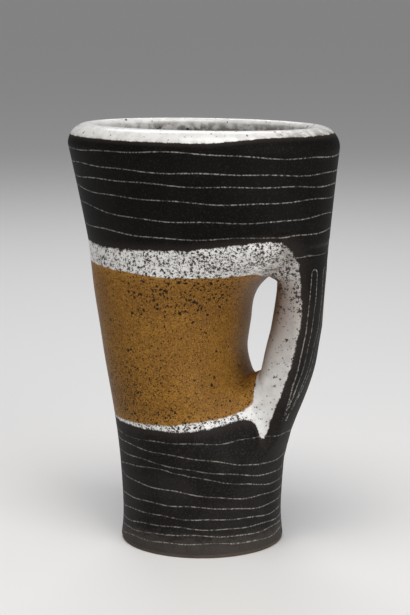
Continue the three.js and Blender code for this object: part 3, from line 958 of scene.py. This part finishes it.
def level_out(turn, z):
    """The wall's own point at an angle and height, and the way straight out of it, which is turned
    level near the lip and the foot."""
    middle, length, depth = wall_outline(np.minimum(z, lip_centre))
    p = np.stack([middle + length * np.cos(turn), depth * np.sin(turn), np.minimum(z, lip_centre)], 1)
    out = slopes(wall_field, p - [0, 0, 0.2], 0.1)
    flat = ease(z, lip_centre - level_lip, lip_centre) + 1 - ease(z, level_foot, level_above)
    out[:, 2] *= 1 - np.clip(flat, 0, 1)
    return p, out / np.linalg.norm(out, axis=1)[:, None]


lip_rows = 16
wall_rows = 96
fillet_rows = 10
floor_rows = 12
liner = bmesh.new()
all_rows = 1 + lip_rows + wall_rows + fillet_rows + floor_rows
tube = closed_column(liner, 144, list(range(all_rows)), open_start=True)
turn = np.array([math.atan2(vert.co.y, vert.co.x) for vert in tube])
row = np.array([round(vert.co.z) for vert in tube])
start = np.arcsin((lip_border(turn) - lip_centre) / lip_radius)
roll = start + (np.pi - start) * np.clip(row / lip_rows, 0, 1)
wall, out = level_out(turn, np.full(len(turn), lip_centre))
past_crest = np.where(roll > np.pi / 2, lip_inner_radius, lip_radius)
on_lip = wall - out * (lip_radius - past_crest * np.cos(roll))[:, None]
on_lip[:, 2] = height - past_crest * (1 - np.sin(roll))
down = np.clip((row - lip_rows) / wall_rows, 0, 1)
bend = np.clip((row - lip_rows - wall_rows) / fillet_rows, 0, 1) * np.pi / 2
lip_foot = height - lip_inner_radius
z = lip_foot - down * (lip_foot - floor_top - inner_fillet) - inner_fillet * np.sin(bend)
wall, out = level_out(turn, z)
thick = wall_thickness + (lip_radius + lip_inner_radius - wall_thickness) * ease(z, lip_swell, lip_foot)
inside = wall - out * (thick + inner_fillet * (1 - np.cos(bend)))[:, None]
inside[:, 2] = np.where(bend > 0, np.maximum(z, floor_top), inside[:, 2])
inward = np.clip((row - lip_rows - wall_rows - fillet_rows) / (floor_rows + 0.5), 0, 1)
inside[:, :2] *= (1 - inward)[:, None]
spots = np.where((row <= lip_rows)[:, None], on_lip, inside)
for vert, where in zip(tube, spots * MM):
    vert.co = where
bmesh.ops.triangulate(liner, faces=[face for face in liner.faces if len(face.verts) > 4])
bmesh.ops.recalc_face_normals(liner, faces=liner.faces)
liner.normal_update()
if liner.faces[0].calc_center_median().z < 0:
    bmesh.ops.reverse_faces(liner, faces=liner.faces)
ways = np.array([vert.normal[:] for vert in tube])
ways[row == 0] = skin_normals(spots[row == 0])
marked(liner, spots, ways)
backed(liner, coat_depth)
dress(finished(liner, "liner"), white_glaze, "white_glaze", "liner_glaze")


# The clay of the foot, the wall and the strap: stoneware with grog in it. The foot is left bare and
# turned flat on the wheel once the clay is stiff, with a shallow recess inside a ring foot. The wall and
# the strap are the CAD solids, drawn in until they lie just under the coats and behind the liner.
def bare_clay(name):
    """Grogged stoneware fired dark and left unglazed, so it is dry, matte and sandy."""
    material = bpy.data.materials.new(name)
    material.use_nodes = True
    tree = material.node_tree
    shader = tree.nodes["Principled BSDF"]
    where = add(tree, "TexCoord", {}, {}).outputs["Object"]
    in_mm = add(tree, "VectorMath", {"operation": "SCALE"}, {0: where, "Scale": 1000.0})
    # Sand grains of 0.5 mm, just under one a millimetre, and flashes of the kiln's flame 9 mm across.
    sand = add(tree, "TexVoronoi", {}, {"Vector": in_mm, "Scale": 1 / 0.9})
    flash = add(tree, "TexNoise", {}, {"Vector": in_mm, "Scale": 1 / 9.0, "Detail": 4.0})
    clay = add(tree, "Mix", colours, {0: flash, 6: paint("#3a302a"), 7: paint("#5d4f44")})
    grain = add(tree, "MapRange", soft, {0: sand, 1: 0.12, 2: 0.34, 3: 0.6, 4: 0.0})
    clay = add(tree, "Mix", colours, {0: grain, 6: clay.outputs[2], 7: paint("#241e1b")})
    bump = add(tree, "Bump", {"invert": True}, {"Distance": 0.08 * MM, "Height": grain})
    tree.links.new(clay.outputs[2], shader.inputs["Base Color"])
    tree.links.new(bump.outputs[0], shader.inputs["Normal"])
    shader.inputs["Roughness"].default_value = 0.85
    return material


stoneware = bare_clay("bare grogged stoneware")
foot_recess = 1.0
foot_ring = 6.0
foot_edge = 0.4
foot_top = 6.0
bare_radius = foot_radius - 0.5
ring_inside = bare_radius - foot_ring
foot = bmesh.new()
rounded = foot_edge * (1 - math.sqrt(0.5))
profile = [
    (0, foot_top),
    (neck_radius - 0.6, foot_top),
    (neck_radius + 0.1, foot_bare + 0.6),
    (bare_radius, foot_bare - 0.1),
    (bare_radius, foot_edge),
    (bare_radius - rounded, rounded),
    (bare_radius - foot_edge, 0),
    (ring_inside + foot_edge, 0),
    (ring_inside + rounded, rounded),
    (ring_inside - 0.1, foot_edge),
    (ring_inside - 0.5, foot_recess - 0.1),
    (ring_inside - 1.2, foot_recess),
    (0, foot_recess),
]
corners = [foot.verts.new((x * MM, 0, z * MM)) for x, z in profile]
sides = [foot.edges.new(pair) for pair in zip(corners, corners[1:])]
bmesh.ops.spin(
    foot,
    geom=corners + sides,
    axis=(0, 0, 1),
    cent=(0, 0, 0),
    steps=144,
    angle=2 * math.pi,
    use_merge=True,
)
bmesh.ops.remove_doubles(foot, verts=foot.verts, dist=0.01 * MM)
bmesh.ops.recalc_face_normals(foot, faces=foot.faces)
foot_piece = linked(foot, "foot")
foot_piece.data.shade_smooth()
dress(foot_piece, stoneware, "stoneware_clay", "floor_slab")

under_coats = 0.3
under_liner = 1.0
liner_side = 3.5
lip_clay_start = 150.0
lip_clay_full = 156.0
for node, name in (("thrown_wall", "wall_clay"), ("handle_strap", "strap_clay")):
    clay = bmesh.new()
    clay.from_mesh(bpy.data.objects[node].data)
    bmesh.ops.remove_doubles(clay, verts=clay.verts, dist=0.01 * MM)
    spots = coordinates(clay)
    within = skin_field(spots)
    proud = np.clip(within + coat_depth + under_coats, 0, None)
    below_lip = 1 - ease(spots[:, 2], lip_clay_start, lip_clay_full)
    proud -= under_liner * (within < -liner_side) * below_lip
    place(clay, spots - skin_normals(spots) * proud[:, None])
    dress(linked(clay, name), stoneware, "stoneware_clay", node)


# Where it stands: a pale paper floor that runs back past the horizon, one large soft window light from
# above the camera, a broad fill from the handle side, and a cooler strip from above and behind.
def lamp(name, at, size, watts, colour):
    """A soft lamp that faces the mug's middle."""
    light = bpy.data.lights.new(name, "AREA")
    light.shape = "RECTANGLE"
    light.size, light.size_y = size
    light.energy = watts
    light.color = paint(colour)[:3]
    made = bpy.data.objects.new(name, light)
    made.location = at
    half_way_up = mathutils.Vector((0, 0, 0.08))
    aim = half_way_up - made.location
    made.rotation_euler = aim.to_track_quat("-Z", "Y").to_euler()
    bpy.context.scene.collection.objects.link(made)


paper = bpy.data.materials.new("pale paper")
paper.use_nodes = True
paper.node_tree.nodes["Principled BSDF"].inputs["Base Color"].default_value = paint("#e9e8e7")
paper.node_tree.nodes["Principled BSDF"].inputs["Roughness"].default_value = 0.9
ground = bmesh.new()
bmesh.ops.create_grid(ground, x_segments=1, y_segments=1, size=100.0)
floor = linked(ground, "paper_floor")
floor.data.materials.append(paper)

world = bpy.data.worlds.new("studio")
bpy.context.scene.world = world
world.use_nodes = True
world.node_tree.nodes["Background"].inputs["Color"].default_value = paint("#f4f4f6")
world.node_tree.nodes["Background"].inputs["Strength"].default_value = 0.3
lamp("window", (0.1, -0.4, 1.2), (0.7, 0.7), 9.2, "#fffdfa")
lamp("fill", (1.1, -0.6, 0.45), (0.9, 0.9), 8.0, "#ffffff")
lamp("strip", (-0.45, 0.75, 0.95), (0.6, 0.3), 3.2, "#f4f8ff")

view = bpy.data.cameras.new("camera")
view.lens = 105
view.sensor_fit = "AUTO"
view.sensor_width = 36
view.clip_end = 1000
camera = bpy.data.objects.new("camera", view)
camera.location = (0.29567, -0.63137, 0.21481)
camera.rotation_euler = (math.radians(80.07), 0, math.radians(25))
bpy.context.scene.collection.objects.link(camera)
bpy.context.scene.camera = camera
bpy.context.scene.view_settings.view_transform = "Standard"
